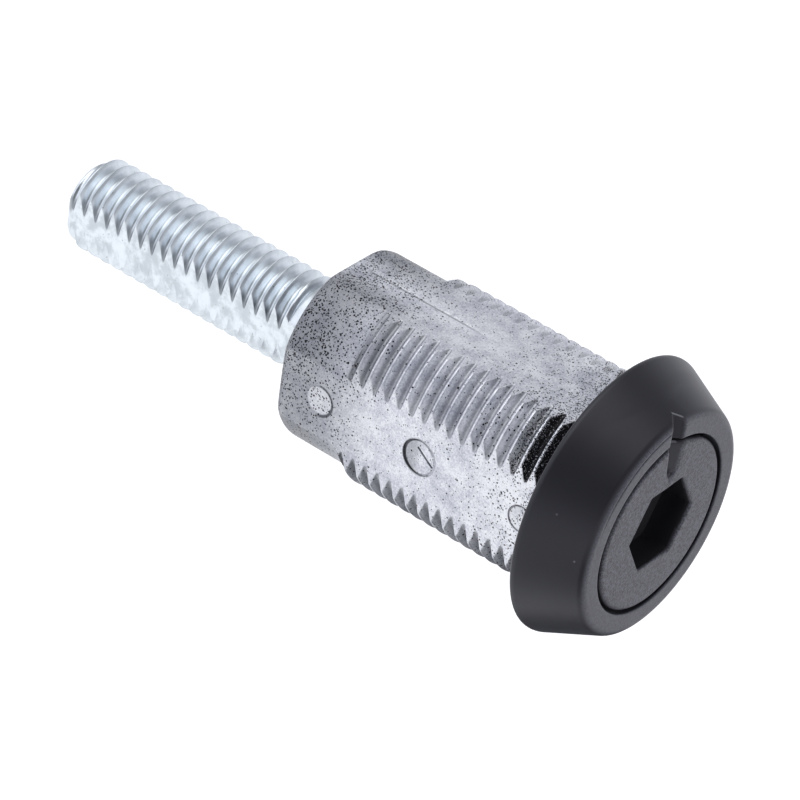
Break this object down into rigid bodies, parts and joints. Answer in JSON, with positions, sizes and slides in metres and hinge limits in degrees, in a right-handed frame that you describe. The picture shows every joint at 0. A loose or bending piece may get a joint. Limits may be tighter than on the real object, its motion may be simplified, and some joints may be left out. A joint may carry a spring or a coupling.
{
  "type": "compression latch",
  "caption": "Panel compression latch: black cone bezel with a flush hex-key driver, flatted threaded barrel and a long flatted threaded shaft that swings and then draws in.",
  "frame": {"origin": "centre of the panel seat, the bezel's flat back face, on the latch's axis", "axes": "+Y along the axis into the cabinet, towards the shaft's tip; +Z to twelve o'clock, where the indicator notches are; the bezel faces -Y"},
  "size_m": [0.0288, 0.0712, 0.0288],
  "materials": {
    "cast_zinc": "satin",
    "black_paint": "matte",
    "plated_steel": "gloss",
    "spring_steel": "satin",
    "rubber": "matte"
  },
  "bodies": {
    "casing": {"housing": "cast_zinc", "snap_ring": "spring_steel"},
    "swing": {"guide_bush": "plated_steel"},
    "drive": {"driver": "black_paint", "seal_ring": "rubber", "return_spring": "spring_steel"},
    "plunger": {"shaft": "plated_steel", "cross_pin": "spring_steel"}
  },
  "joints": [
    {"name": "shaft_swing", "type": "hinge", "parent": "casing", "child": "swing", "pos_m": [0, 0, 0], "axis": [0, 1, 0], "range_deg": [0, 90]},
    {"name": "key_wind", "type": "hinge", "parent": "swing", "child": "drive", "pos_m": [0, 0, 0], "axis": [0, 1, 0], "range_deg": [0, 90]},
    {"name": "shaft_pull", "type": "slide", "parent": "swing", "child": "plunger", "axis": [0, -1, 0], "range_m": [0, 0.006], "deforming": ["return_spring"]}
  ],
  "couplings": [
    {"joint": "key_wind", "follows": "shaft_pull", "rad_per_m": 261.8}
  ]
}
